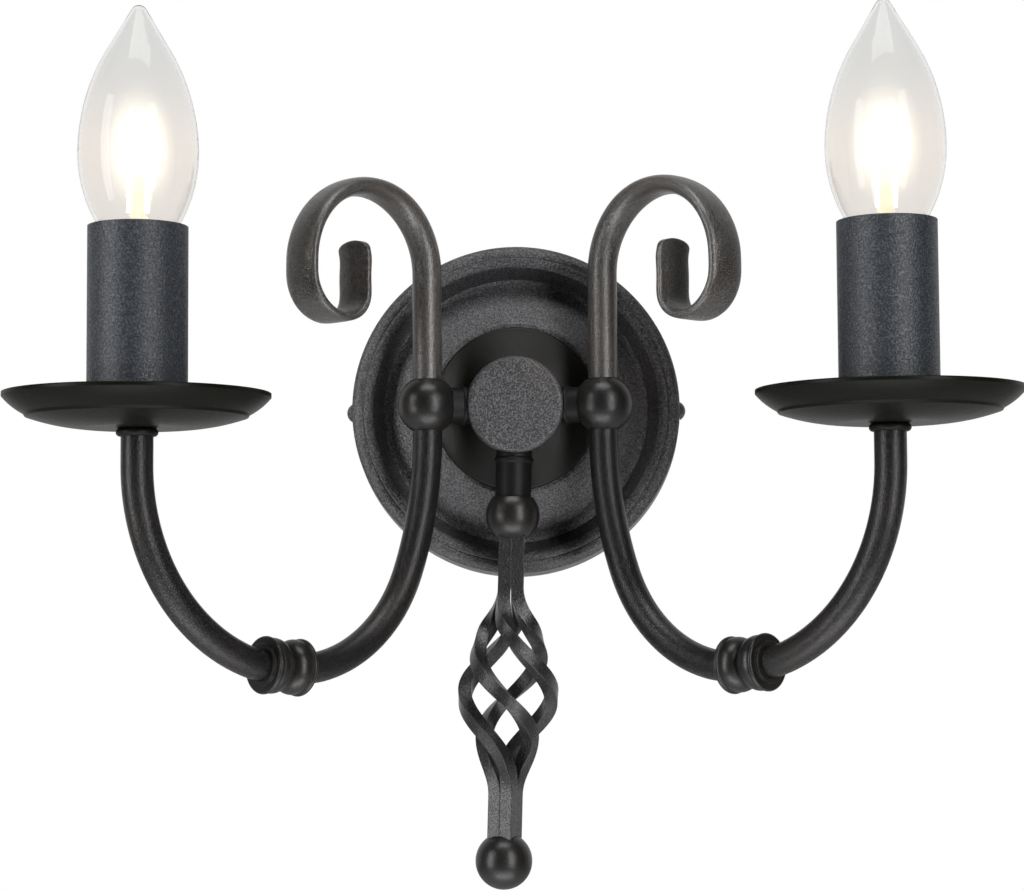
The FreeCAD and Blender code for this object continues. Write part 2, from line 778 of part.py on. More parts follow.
INNER_PATH = [
    (0, -seat_drop),
    (0, -lamp.arm_drop, lamp.arm_sweep_radius, 1),
    (sweep_out, sweep_up, lamp.arm_bow_radius, 1),
    (bow_out, bow_up, lamp.arm_lead_radius, 1),
    (lead_out, lead_up),
    inner_end,
]
OUTER_PATH = [
    (candle_reach, tube_level),
    (candle_reach, lift_up, lamp.arm_lift_radius, -1),
    (kick_out, kick_up, lamp.arm_kick_radius, -1),
    (exit_out, exit_up),
    outer_end,
]


def arm_heading(sign):
    return -lamp.arm_azimuth if sign > 0 else lamp.arm_azimuth - HALF


def arm_place(sign):
    return (lamp.ball_out * sign, -lamp.ball_depth, 0, (Z_AXIS, arm_heading(sign)))


def make_arms():
    radii = [lamp.tube_radius, tube_bore]
    tap_radius = lamp.candle_nipple_radius + lamp.fit_gap
    for side, sign in SIDES:
        inner = piped("arm_inner_" + side, INNER_PATH, "XY_Plane", (0, 0), radii, -seat_drop)
        put(inner, *arm_place(sign))
        outer = piped("arm_outer_" + side, OUTER_PATH, "XY_Plane", (candle_reach, 0), radii, tube_level)
        tap = rings(outer, "arm_tap_" + side, "XY_Plane", [(candle_reach, 0)], [tap_radius], tube_level)
        pocket(outer, "arm_tapped_end_" + side, tap, lamp.candle_nipple_engage + lamp.running_gap)
        put(outer, *arm_place(sign))
        pieces.extend([inner, outer])


make_arms()

# Knuckles: turned about their own X, which lies along the arm there

ring_rise = lamp.knuckle_ring_radius - lamp.knuckle_groove_radius
half_ring = lamp.knuckle_ring_width / 2
knuckle_ring_curve = dome_curve(half_ring, ring_rise)
knuckle_middle = (lead_out + knuckle_run / 2, lead_up + knuckle_climb / 2)


def make_knuckles():
    end = lamp.knuckle_length / 2
    ring_end = end - lamp.knuckle_lip_width
    ring_foot = ring_end - lamp.knuckle_ring_width
    bulge_foot = ring_foot - lamp.knuckle_groove_width
    groove_radius = lamp.knuckle_groove_radius
    corners = [
        (-end, seat_radius),
        (-end, lamp.knuckle_lip_radius),
        (-ring_end, lamp.knuckle_lip_radius),
        (-ring_end, groove_radius, knuckle_ring_curve, -1),
        (-ring_foot, groove_radius),
        (-bulge_foot, groove_radius, lamp.knuckle_bulge_curve, -1),
        (0, lamp.knuckle_waist_radius, lamp.knuckle_bulge_curve, -1),
        (bulge_foot, groove_radius),
        (ring_foot, groove_radius, knuckle_ring_curve, -1),
        (ring_end, groove_radius),
        (ring_end, lamp.knuckle_lip_radius),
        (end, lamp.knuckle_lip_radius),
        (end, seat_radius),
        (lamp.knuckle_shoulder, seat_radius),
        (lamp.knuckle_shoulder, tube_bore),
        (-lamp.knuckle_shoulder, tube_bore),
        (-lamp.knuckle_shoulder, seat_radius),
    ]
    for side, sign in SIDES:
        knuckle = turned("knuckle_" + side, corners, "H_Axis")
        heading = arm_heading(sign)
        x = lamp.ball_out * sign + knuckle_middle[0] * cosine(lamp.arm_azimuth) * sign
        y = -lamp.ball_depth - knuckle_middle[0] * sine(lamp.arm_azimuth)
        put(knuckle, x, y, knuckle_middle[1], (Z_AXIS, heading), (Y_AXIS, -lamp.knuckle_tilt))
        pieces.append(knuckle)


make_knuckles()

# Scrolls: a round tube above the ball that is flattened as it curls, lofted through rounded sections


def scroll_stretches():
    """The runs and bends of the scroll's centre line: each with its size, its turn in degrees and its end's section."""
    bulk = 2 * lamp.tube_radius.value
    seat = lamp.ball_seat.value + lamp.fit_gap.value
    tube = (bulk, bulk, ROUND_POWER)
    crown = (lamp.scroll_crown_width.value, lamp.scroll_crown_thickness.value, OVAL_POWER)
    strip = (lamp.scroll_strip_width.value, lamp.scroll_strip_thickness.value, OVAL_POWER)
    tongue = (lamp.scroll_tongue_width.value, lamp.scroll_tongue_thickness.value, FLAT_POWER)
    return tube, [
        (lamp.scroll_rise.value - seat, 0, tube),
        (lamp.scroll_crown_radius.value, 90, crown),
        (lamp.scroll_fall_radius.value, 90, strip),
        (lamp.scroll_fall.value, 0, strip),
        (lamp.scroll_curl_radius.value, 90, tongue),
        (lamp.scroll_inner_radius.value, 90, tongue),
        (lamp.scroll_tongue.value, 0, tongue),
    ]


def scroll_stations():
    """Evenly spaced places along the scroll: each with its way, and its section's width, thickness and power."""
    form, stretches = scroll_stretches()
    lengths = [size * math.radians(turn) if turn else size for size, turn, next_form in stretches]
    spacing = sum(lengths) / SCROLL_SECTION_COUNT
    place = FreeCAD.Vector(0, 0, lamp.ball_seat.value + lamp.fit_gap.value)
    way = 90.0
    gone = 0.0
    count = 0
    stations = []
    for (size, turn, next_form), length in zip(stretches, lengths):
        while count <= SCROLL_SECTION_COUNT and count * spacing <= gone + length + spacing / SCROLL_SECTION_COUNT:
            share = min((count * spacing - gone) / length, 1)
            blend = share * share * (3 - 2 * share)
            mixed = tuple(first + (second - first) * blend for first, second in zip(form, next_form))
            stations.append((along_stretch(place, way, size, turn, share), way - turn * share, mixed))
            count += 1
        place = along_stretch(place, way, size, turn, 1)
        way -= turn
        gone += length
        form = next_form
    return stations


def along_stretch(place, way, size, turn, share):
    """A share of the way along a straight run of that size, or round a bend of that radius."""
    first = math.radians(way)
    last = math.radians(way - turn * share)
    if not turn:
        return place + FreeCAD.Vector(math.cos(first), 0, math.sin(first)) * (size * share)
    return place + FreeCAD.Vector(math.sin(first) - math.sin(last), 0, math.cos(last) - math.cos(first)) * size


def rounded_section(place, angle, width, thickness, power):
    """A closed curve across the way, between an ellipse and a rectangle, wide along Y."""
    across = FreeCAD.Vector(-math.sin(math.radians(angle)), 0, math.cos(math.radians(angle)))
    points = []
    for step in range(SECTION_POINT_COUNT):
        turn = 2 * math.pi * step / SECTION_POINT_COUNT
        wide = math.copysign(abs(math.cos(turn)) ** (2 / power), math.cos(turn))
        thick = math.copysign(abs(math.sin(turn)) ** (2 / power), math.sin(turn))
        points.append(place + FreeCAD.Vector(0, wide * width / 2, 0) + across * (thick * thickness / 2))
    curve = Part.BSplineCurve()
    curve.interpolate(Points=points, PeriodicFlag=True)
    return Part.Wire([curve.toShape()])


def tongue_corners(tip):
    """What rounds off the end of the tongue: a block around the tip less a half ellipse as wide as the tongue."""
    half = lamp.scroll_tongue_width.value / 2
    dome = lamp.scroll_tongue_dome.value
    reach = lamp.scroll_inner_radius.value / 2
    spare = lamp.overrun.value
    foot = tip + FreeCAD.Vector(-reach, 0, -dome)
    upright = FreeCAD.Placement(foot, FreeCAD.Rotation(FreeCAD.Vector(0, 1, 0), 90))
    ellipse = Part.Ellipse(FreeCAD.Vector(0, half, 0), FreeCAD.Vector(dome, 0, 0), FreeCAD.Vector())
    rounded = Part.Face(Part.Wire([ellipse.toShape()])).extrude(FreeCAD.Vector(0, 0, 2 * reach))
    rounded.Placement = upright
    corner = foot - FreeCAD.Vector(0, half + spare, 0)
    return Part.makeBox(2 * reach, 2 * (half + spare), dome + spare, corner).cut(rounded)


def make_scrolls():
    stations = scroll_stations()
    sections = [rounded_section(place, angle, *form) for place, angle, form in stations]
    solid = Part.makeLoft(sections, True, False)
    if solid.Volume < 0:
        solid.reverse()
    hollow = Part.makeCylinder(tube_bore.value, lamp.scroll_rise.value - 2 * lamp.tube_wall.value)
    solid = solid.cut(hollow).cut(tongue_corners(stations[-1][0])).Solids[0]
    for side, sign in SIDES:
        pieces.append(coded("scroll_" + side, solid.copy(), placement_of(*arm_place(sign))))


make_scrolls()

# Candle cups: everything here turns about the upright axis over the end of the arm

pan_floor_top = lamp.pan_wall - pan_floor_drop
nut_foot = pan_floor_top + lamp.fit_gap
holder_foot = nut_foot + lamp.nipple_nut_height + lamp.fit_gap
holder_cup = holder_foot + lamp.holder_neck_height
nipple_hole = lamp.candle_nipple_radius + lamp.fit_gap
bulb_seat = lamp.bulb_seat_height


def at_candle(piece, sign):
    put(piece, candle_out * sign, -candle_depth, candle_level)
    pieces.append(piece)


def pan_outline():
    flange_radius = lamp.pan_radius - lamp.pan_flange_run
    flange_level = -(lamp.pan_rim_drop + lamp.pan_flange_fall)
    step_radius = flange_radius - lamp.pan_step_run
    step_level = flange_level - lamp.pan_step_fall
    wall = lamp.pan_wall
    return [
        (lamp.pan_radius, -lamp.pan_rim_drop, lamp.pan_flange_curve, -1),
        (flange_radius, flange_level),
        (step_radius, step_level, lamp.pan_dish_curve, -1),
        (lamp.pan_floor_radius, -pan_floor_drop),
        (nipple_hole, -pan_floor_drop),
        (nipple_hole, pan_floor_top),
        (lamp.pan_floor_radius, pan_floor_top, lamp.pan_dish_curve, 1),
        (step_radius, step_level + wall),
        (flange_radius, flange_level + wall, lamp.pan_flange_curve, 1),
        (lamp.pan_radius, wall - lamp.pan_rim_drop),
    ]


def ring_outline(inner, outer, foot, top):
    return [(inner, foot), (outer, foot), (outer, top), (inner, top)]


def make_cups():
    sleeve_foot = pan_floor_top + lamp.fit_gap
    for side, sign in SIDES:
        at_candle(turned("pan_" + side, pan_outline()), sign)
        collar_top = -(pan_floor_drop + lamp.fit_gap)
        collar_foot = collar_top - lamp.collar_height
        bulge_foot = lamp.collar_radius - lamp.collar_bulge
        collar = [
            (seat_radius, collar_foot),
            (bulge_foot, collar_foot, dome_curve(lamp.collar_height / 2, lamp.collar_bulge), 1),
            (bulge_foot, collar_top),
            (seat_radius, collar_top),
        ]
        at_candle(turned("pan_collar_" + side, collar), sign)
        nipple_foot = tube_top - lamp.candle_nipple_engage
        nipple_top = holder_cup - lamp.fit_gap
        rod = ring_outline(lamp.candle_nipple_bore, lamp.candle_nipple_radius, nipple_foot, nipple_top)
        at_candle(turned("candle_nipple_" + side, rod), sign)
        nut = hexagon_nut("nipple_nut_" + side, lamp.nipple_nut_flats, lamp.nipple_nut_height, nipple_hole)
        put(nut, candle_out * sign, -candle_depth, candle_level + nut_foot)
        pieces.append(nut)
        inner = lamp.sleeve_radius - lamp.sleeve_wall
        sleeve = ring_outline(inner, lamp.sleeve_radius, sleeve_foot, lamp.sleeve_top)
        at_candle(turned("sleeve_" + side, sleeve), sign)


make_cups()

# Lampholders: an insulating cup with three ribs, a screw shell that follows the cap's thread, and a contact

shell_inner = lamp.cap_radius + lamp.running_gap / 2
shell_rise = lamp.cap_radius - lamp.cap_root_radius
thread_foot = bulb_seat + lamp.cap_thread_foot
thread_top = thread_foot + lamp.cap_pitch * lamp.cap_thread_count


def thread_corners(root_radius, rise):
    """One side of a rolled thread, from foot to top, as rounds and hollows of half a pitch."""
    corners = []
    half = lamp.cap_pitch / 2
    for step in range(int(2 * lamp.cap_thread_count.value)):
        level = thread_foot + half * step
        corners.append((root_radius + rise * (step % 2), level))
    return corners


def make_holders():
    bore = lamp.holder_bore
    cup_floor = holder_cup + lamp.holder_floor
    for side, sign in SIDES:
        holder = turned("holder_body_" + side, [
            (nipple_hole, holder_foot),
            (lamp.holder_neck_radius, holder_foot),
            (lamp.holder_neck_radius, holder_cup),
            (lamp.holder_radius, holder_cup),
            (lamp.holder_radius, lamp.holder_top),
            (bore, lamp.holder_top),
            (bore, cup_floor),
            (lamp.candle_nipple_bore, cup_floor),
            (lamp.candle_nipple_bore, holder_cup),
            (nipple_hole, holder_cup),
        ])
        half = lamp.holder_rib_width / 2
        near = lamp.holder_radius - lamp.overrun
        rib = holder.newObject("PartDesign::Pad", "holder_rib_" + side)
        rib.Profile = outline(holder, "holder_rib_outline_" + side, "XY_Plane", [
            (near, -half),
            (lamp.holder_rib_radius, -half),
            (lamp.holder_rib_radius, half),
            (near, half),
        ], offset=holder_cup)
        rib.setExpression("Length", lamp.holder_rib_height.text)
        ribs = holder.newObject("PartDesign::PolarPattern", "holder_ribs_" + side)
        ribs.Originals = [rib]
        ribs.Axis = (rib.Profile[0], ["N_Axis"])
        ribs.Angle = 360
        ribs.Occurrences = 3
        holder.Tip = ribs
        at_candle(holder, sign)
        outer = [(radius + lamp.shell_sheet, level) for radius, level in thread_corners(shell_inner, shell_rise)]
        inner = thread_corners(shell_inner, shell_rise)
        lowest = (shell_inner, cup_floor + lamp.fit_gap)
        lowest_outer = (shell_inner + lamp.shell_sheet, cup_floor + lamp.fit_gap)
        shell = turned("holder_shell_" + side, [lowest_outer] + outer + inner[::-1] + [lowest])
        at_candle(shell, sign)
        at_candle(make_contact(side, cup_floor + lamp.fit_gap, bulb_seat - lamp.running_gap / 2), sign)


def make_contact(side, foot, top):
    """A bent spring strip that stands on the cup's floor and meets the bulb's eyelet."""
    sheet_size = lamp.contact_sheet
    reach = lamp.contact_half_length
    lean = lamp.contact_inset
    corners = [
        (-reach, foot),
        (reach, foot),
        (reach, foot + sheet_size),
        (sheet_size - reach + lean, foot + sheet_size),
        (sheet_size - lean, top - sheet_size),
        (reach - lean, top - sheet_size),
        (reach - lean, top),
        (-lean, top),
        (-reach, foot + sheet_size),
    ]
    label = "holder_contact_" + side
    return padded(label, lambda body: outline(body, label + "_outline", "XZ_Plane", corners), lamp.contact_width, True)


make_holders()

# Bulbs: glass, threaded cap, eyelet, glass stem and filament, with heights above the holder's contact


def above_seat(height):
    return bulb_seat + height


def make_bulbs():
    wall = lamp.bulb_wall
    neck_inner = lamp.bulb_neck_radius - wall
    nose_inner = lamp.bulb_nose_radius - wall
    nose_inner_rise = lamp.bulb_nose_drop - wall / 2
    nose_level = above_seat(lamp.bulb_length - lamp.bulb_nose_drop)
    taper_level = above_seat(lamp.bulb_length - lamp.bulb_taper_drop)
    neck_level = above_seat(lamp.cap_top)
    glass = [
        (lamp.bulb_neck_radius, above_seat(lamp.bulb_neck_foot)),
        (lamp.bulb_neck_radius, neck_level),
        (lamp.bulb_shoulder_radius, above_seat(lamp.bulb_shoulder_height), lamp.bulb_belly_curve, 1),
        (lamp.bulb_belly_radius, above_seat(lamp.bulb_belly_height), lamp.bulb_taper_curve, 1),
        (lamp.bulb_taper_radius, taper_level),
        (lamp.bulb_nose_radius, nose_level, dome_curve(lamp.bulb_nose_radius, lamp.bulb_nose_drop), 1),
        (0, above_seat(lamp.bulb_length)),
        (0, above_seat(lamp.bulb_length - wall), dome_curve(nose_inner, nose_inner_rise), -1),
        (nose_inner, nose_level - wall / 2),
        (lamp.bulb_taper_radius - wall, taper_level - wall / 2, lamp.bulb_taper_curve, -1),
        (lamp.bulb_belly_radius - wall, above_seat(lamp.bulb_belly_height), lamp.bulb_belly_curve, -1),
        (lamp.bulb_shoulder_radius - wall, above_seat(lamp.bulb_shoulder_height + wall / 2)),
        (neck_inner, neck_level + wall / 2),
        (neck_inner, above_seat(lamp.bulb_neck_foot)),
    ]
    skin = lamp.cap_sheet
    rise = lamp.cap_radius - lamp.cap_root_radius
    smooth = lamp.bulb_neck_radius + lamp.fit_gap
    outer = thread_corners(lamp.cap_root_radius, rise)
    inner = [(radius - skin, level) for radius, level in outer]
    cap = [(lamp.eyelet_radius, above_seat(lamp.eyelet_height))] + outer + [
        (smooth + skin, thread_top),
        (smooth + skin, neck_level),
        (smooth, neck_level),
        (smooth, thread_top + skin),
    ] + inner[::-1] + [(lamp.eyelet_radius, above_seat(lamp.eyelet_height) + skin)]
    eyelet = [
        (0, bulb_seat),
        (lamp.eyelet_radius, bulb_seat),
        (lamp.eyelet_radius, above_seat(lamp.eyelet_height) - lamp.fit_gap),
        (0, above_seat(lamp.eyelet_height) - lamp.fit_gap),
    ]
    stem = [
        (0, above_seat(lamp.stem_foot_height)),
        (neck_inner - lamp.fit_gap, above_seat(lamp.stem_foot_height)),
        (lamp.stem_neck_radius, above_seat(lamp.stem_neck_height)),
        (lamp.stem_neck_radius, above_seat(lamp.stem_top_height)),
        (0, above_seat(lamp.stem_top_height)),
    ]
    for side, sign in SIDES:
        at_candle(turned("bulb_glass_" + side, glass), sign)
        at_candle(turned("bulb_cap_" + side, cap), sign)
        at_candle(turned("bulb_eyelet_" + side, eyelet), sign)
        at_candle(turned("bulb_stem_" + side, stem), sign)
        place = placement_of(candle_out * sign, -candle_depth, candle_level)
        pieces.append(coded("bulb_filament_" + side, filament_shape(), place))


def bent_path(corners, radii):
    """Straight runs between the corners, joined by tangent arcs of the radii given."""
    edges = []
    start = corners[0]
    for before, corner, after, radius in zip(corners, corners[1:], corners[2:], radii):
        arrive = (corner - before).normalize()
        leave = (after - corner).normalize()
        turn = arrive.getAngle(leave)
        first = corner - arrive * (radius * math.tan(turn / 2))
        last = corner + leave * (radius * math.tan(turn / 2))
        inward = (leave - arrive).normalize()
        middle = corner + inward * (radius / math.cos(turn / 2) - radius)
        edges.append(Part.LineSegment(start, first).toShape())
        edges.append(Part.Arc(first, middle, last).toShape())
        start = last
    edges.append(Part.LineSegment(start, corners[-1]).toShape())
    return edges


def round_sweep(edges, radius):
    """A round bar along the edges."""
    path = Part.Wire(edges)
    first = edges[0]
    start = first.valueAt(first.FirstParameter)
    way = first.tangentAt(first.FirstParameter)
    ring = Part.Wire([Part.makeCircle(radius, start, way)])
    solid = path.makePipeShell([ring], True, False)
    return solid.Solids[0] if solid.Solids else Part.Solid(solid)


def filament_shape():
    """The two lead-in wires beside the stem and the bright wire that hangs between them, as one bar."""
    side = lamp.stem_neck_radius.value + lamp.filament_radius.value + lamp.fit_gap.value
    spread = lamp.filament_spread.value
    foot = above_seat(lamp.stem_neck_height + lamp.wire_foot_rise).value
    knee = above_seat(lamp.stem_top_height).value
    peak = above_seat(lamp.filament_top_height).value
    dip = (knee + peak) / 2
    corners = [
        FreeCAD.Vector(-side, 0, foot),
        FreeCAD.Vector(-side, 0, knee),
        FreeCAD.Vector(-spread, 0, dip),
        FreeCAD.Vector(-spread / 2, 0, peak),
        FreeCAD.Vector(0, 0, dip),
        FreeCAD.Vector(spread / 2, 0, peak),
        FreeCAD.Vector(spread, 0, dip),
        FreeCAD.Vector(side, 0, knee),
        FreeCAD.Vector(side, 0, foot),
    ]
    bends = [lamp.filament_bend.value] * (len(corners) - 2)
    return round_sweep(bent_path(corners, bends), lamp.filament_radius.value)


make_bulbs()

# Finial: two balls and four square bars, twisted together and opened into a cage

bundle = lamp.bar_side
bundle_corner = bundle * root(Size(2, "2")) + lamp.fit_gap
socket_edge = root(lamp.finial_ball_radius * lamp.finial_ball_radius - bundle_corner * bundle_corner)
end_socket_edge = root(lamp.finial_end_radius * lamp.finial_end_radius - bundle_corner * bundle_corner)
bars_top = -(lamp.finial_ball_drop + socket_edge - lamp.bar_socket)
bars_foot = -(lamp.finial_end_drop - end_socket_edge + lamp.bar_socket)


def square_pocket(body, name, role_offset, turn, backwards):
    """A square hole for the bundle of bars, turned with them."""
    half = bundle + lamp.fit_gap
    corners = []
    for quarter in (45, 135, 225, 315):
        angle = turn + quarter
        reach = half * root(Size(2, "2"))
        corners.append((reach * cosine(angle), reach * sine(angle)))
    sketch = outline(body, name + "_square", "XY_Plane", corners, offset=role_offset)
    pocket(body, name, sketch, backwards=backwards)


def make_finial_balls():
    top = new_body("finial_ball_top")
    sphere(top, lamp.finial_ball_radius)
    flat = finial_flat - lamp.fit_gap
    bottom = flat - lamp.neck_spigot_length - lamp.overrun
    groove(top, "finial_ball_neck_socket", upright_socket(flat, lamp.finial_ball_radius, bottom), "V_Axis")
    top_socket = bars_top + lamp.finial_ball_drop + lamp.fit_gap
    square_pocket(top, "finial_ball_bar_socket", top_socket, Size(0, "0"), False)
    put(top, *finial_spot(lamp.finial_ball_drop), LEANING)
    end = new_body("finial_ball_bottom")
    sphere(end, lamp.finial_end_radius)
    end_socket = bars_foot + lamp.finial_end_drop - lamp.fit_gap
    square_pocket(end, "finial_end_bar_socket", end_socket, lamp.cage_twist_angle, True)
    put(end, *finial_spot(lamp.finial_end_drop), LEANING)
    pieces.extend([top, end])


def sphere(body, radius):
    ball = body.newObject("PartDesign::Revolution", body.Label + "_turning")
    ball.Profile = outline(body, body.Label + "_outline", "XZ_Plane", [
        (0, -radius, radius, 1),
        (radius, 0, radius, 1),
        (0, radius),
    ])
    ball.ReferenceAxis = (ball.Profile[0], ["V_Axis"])


def upright_socket(flat, ball_radius, bottom):
    """Stepped hole for the lower neck, about the ball's own Z."""
    return [(radius, level) for level, radius in neck_socket(flat, ball_radius, bottom)]


def cage_state(share):
    """Radius and turn of the bars at a share of the cage's length from its top."""
    bundle_radius = lamp.bar_side.value / math.sqrt(2)
    swell = math.sin(math.pi * share) ** 2
    radius = bundle_radius + (lamp.cage_radius.value - bundle_radius) * swell
    return radius, lamp.cage_twist_angle.value * twist_share(share)


def twist_share(share):
    """How much of the twist is made by then: even along the cage, and eased at both ends."""
    if share > 1 / 2:
        return 1 - twist_share(1 - share)
    if share < TWIST_EASE_SHARE:
        return share ** 2 / (2 * TWIST_EASE_SHARE * (1 - TWIST_EASE_SHARE))
    return (share - TWIST_EASE_SHARE / 2) / (1 - TWIST_EASE_SHARE)


def face_turn(share):
    """How far a bar has turned its flat face outwards: 0 in the bundle, 1 in the open cage."""
    from_end = min(share, 1 - share)
    step = (from_end - FACE_TURN_START_SHARE) / (FACE_TURN_END_SHARE - FACE_TURN_START_SHARE)
    step = min(max(step, 0), 1)
    return step * step * (3 - 2 * step)


def bar_centre(level, start_angle):
    radius, twist = cage_state(cage_share(level))
    angle = math.radians(start_angle + twist)
    return FreeCAD.Vector(radius * math.sin(angle), -radius * math.cos(angle), level)


def cage_share(level):
    """How far down the cage a level lies: 0 in the bundle above it, 1 in the bundle below."""
    return min(max((-level - lamp.cage_top_drop.value) / lamp.cage_length.value, 0), 1)


def bar_section(centre, way, angle, outward_turn):
    """A square across the way. The angle is the bar's own about the finial, from the front towards +X."""
    half = (lamp.bar_side.value - lamp.fit_gap.value) / 2
    turn = math.radians(angle - 45 * (1 - outward_turn))
    outward = FreeCAD.Vector(math.sin(turn), -math.cos(turn), 0)
    side = way.cross(outward).normalize()
    front = side.cross(way).normalize()
    corners = [
        centre + front * half + side * half,
        centre - front * half + side * half,
        centre - front * half - side * half,
        centre + front * half - side * half,
    ]
    return Part.makePolygon(corners + corners[:1])


def bar_shape(start_angle):
    sections = []
    spacing = (bars_foot.value - bars_top.value) / BAR_SECTION_COUNT
    for step in range(BAR_SECTION_COUNT + 1):
        level = bars_top.value + spacing * step
        before = bar_centre(level - spacing / BAR_SECTION_COUNT, start_angle)
        after = bar_centre(level + spacing / BAR_SECTION_COUNT, start_angle)
        share = cage_share(level)
        angle = start_angle + cage_state(share)[1]
        way = (after - before).normalize()
        sections.append(bar_section(bar_centre(level, start_angle), way, angle, face_turn(share)))
    solid = Part.makeLoft(sections, True, False)
    if solid.Volume < 0:
        solid.reverse()
    return solid


def make_bars():
    place = placement_of(0, -lamp.finial_depth, 0, LEANING)
    for index in range(4):
        label = "finial_bar_%d" % (index + 1)
        pieces.append(coded(label, bar_shape(45 + 90 * index), place))


make_finial_balls()
make_bars()

# Wall bracket and its screws

ear_face = lamp.canopy_radius - lamp.canopy_wall - lamp.bracket_ear_gap


def make_bracket():
    thick = lamp.bracket_sheet
    bend = lamp.bracket_bend
    inner_bend = bend - thick
    corners = [
        (-ear_face + bend, 0),
        (ear_face - bend, 0, bend, 1),
        (ear_face, bend),
        (ear_face, lamp.bracket_ear_depth),
        (ear_face - thick, lamp.bracket_ear_depth),
        (ear_face - thick, bend, inner_bend, -1),
        (ear_face - bend, thick),
        (-ear_face + bend, thick, inner_bend, -1),
        (-ear_face + thick, bend),
        (-ear_face + thick, lamp.bracket_ear_depth),
        (-ear_face, lamp.bracket_ear_depth),
        (-ear_face, bend, bend, 1),
    ]
    body = padded(
        "wall_bracket",
        lambda body: outline(body, "bracket_bend_outline", "XZ_Plane", corners),
        lamp.bracket_width,
        True,
    )
    for name, sign in SIDES:
        middle = lamp.slot_offset * sign
        run = lamp.slot_half_run
        end = lamp.slot_radius
        slot = outline(body, "slot_outline_" + name, "XY_Plane", [
            (middle - run, -end),
            (middle + run, -end, end, 1),
            (middle + run + end, 0, end, 1),
            (middle + run, end),
            (middle - run, end, end, 1),
            (middle - run - end, 0, end, 1),
        ])
        pocket(body, "slot_" + name, slot, symmetric=True)
    holes = rings(body, "strap_hole", "XY_Plane", [(0, 0)], [lamp.entry_radius])
    pocket(body, "strap_holes", holes, symmetric=True)
    earth_radius = lamp.earth_screw_radius + lamp.fit_gap
    earth = rings(body, "earth_hole_circle", "XY_Plane", [(-lamp.earth_screw_offset, 0)], [earth_radius])
    pocket(body, "earth_hole", earth, symmetric=True)
    ear_radius = lamp.canopy_screw_radius + lamp.fit_gap
    ears = rings(body, "ear_hole_circle", "YZ_Plane", [(0, lamp.canopy_screw_depth)], [ear_radius])
    pocket(body, "ear_holes", ears, symmetric=True)
    put(body, 0, 0, 0, FORWARD)
    pieces.append(body)


def slotted_screw(label, shank, tip, seat, head_radius, head_height):
    """A screw along the body's own Z with its head's flat at seat, and a screwdriver slot."""
    dome = dome_curve(head_radius, head_height)
    body = turned(label, [
        (0, tip),
        (shank, tip),
        (shank, seat),
        (head_radius, seat, dome, 1),
        (0, seat + head_height),
    ])
    half = lamp.screw_slot_width / 2
    reach = head_radius + lamp.overrun
    slot = outline(body, label + "_slot_outline", "XY_Plane", [
        (-reach, -half),
        (reach, -half),
        (reach, half),
        (-reach, half),
    ], offset=seat + head_height)
    pocket(body, label + "_slot", slot, lamp.screw_slot_depth)
    return body


def make_screws():
    seat = skirt_radius_at_head + lamp.fit_gap
    for side, sign in SIDES:
        screw = slotted_screw(
            "canopy_screw_" + side,
            lamp.canopy_screw_radius,
            seat - lamp.canopy_screw_length,
            seat,
            lamp.screw_head_radius,
            lamp.screw_head_height,
        )
        put(screw, 0, -lamp.canopy_screw_depth, 0, (Y_AXIS, QUARTER * sign))
        pieces.append(screw)
    earth_seat = lamp.bracket_sheet + lamp.fit_gap
    earth = slotted_screw(
        "earth_screw",
        lamp.earth_screw_radius,
        lamp.earth_screw_tip,
        earth_seat,
        lamp.earth_head_radius,
        lamp.earth_head_height,
    )
    put(earth, -lamp.earth_screw_offset, 0, 0, FORWARD)
    pieces.append(earth)


make_bracket()
make_screws()

# Terminal block: three poles side by side on the strap, each a brass barrel with two screws

block_foot = lamp.bracket_sheet + lamp.fit_gap
block_far = lamp.block_near + lamp.block_length
block_middle = block_foot + lamp.block_height / 2
pole_count = int(lamp.pole_count.value)


def pole_rows():
    return [lamp.pole_pitch * (index - (pole_count - 1) / 2) for index in range(pole_count)]


def screw_places():
    inset = lamp.terminal_screw_inset
    return [(out, row) for row in pole_rows() for out in (lamp.block_near + inset, block_far - inset)]


def make_terminals():
    half_width = lamp.pole_pitch * (pole_count - 1) / 2 + lamp.pole_margin
    block = padded("terminal_block", lambda body: outline(body, "block_outline", "XY_Plane", [
        (lamp.block_near, -half_width),
        (block_far, -half_width),
        (block_far, half_width),
        (lamp.block_near, half_width),
    ], offset=block_foot), lamp.block_height)
    barrel_places = [(row, block_middle) for row in pole_rows()]
    barrel_hole = lamp.barrel_radius + lamp.fit_gap
    tunnels = rings(block, "block_tunnel_circles", "YZ_Plane", barrel_places, [barrel_hole])
    pocket(block, "block_tunnels", tunnels, symmetric=True)
    screw_hole = lamp.terminal_screw_radius + lamp.fit_gap
    wells = rings(block, "block_well_circles", "XY_Plane", screw_places(), [screw_hole], block_middle)
    pocket(block, "block_wells", wells, backwards=True)
    put(block, 0, 0, 0, FORWARD)
    length = lamp.block_length - 2 * lamp.barrel_inset
    near = lamp.block_near + lamp.barrel_inset
    barrels = padded(
        "terminal_barrels",
        lambda body: rings(body, "barrel_circles", "YZ_Plane", barrel_places, [lamp.barrel_radius, lamp.barrel_bore], near),
        length,
    )
    taps = rings(barrels, "barrel_tap_circles", "XY_Plane", screw_places(), [screw_hole], block_middle)
    pocket(barrels, "barrel_taps", taps, backwards=True)
    put(barrels, 0, 0, 0, FORWARD)
    foot = block_middle + lamp.lead_radius + lamp.fit_gap
    screws = padded(
        "terminal_screws",
        lambda body: rings(body, "terminal_screw_circles", "XY_Plane", screw_places(), [lamp.terminal_screw_radius], foot),
        lamp.terminal_screw_length,
    )
    put(screws, 0, 0, 0, FORWARD)
    pieces.extend([block, barrels, screws])


make_terminals()

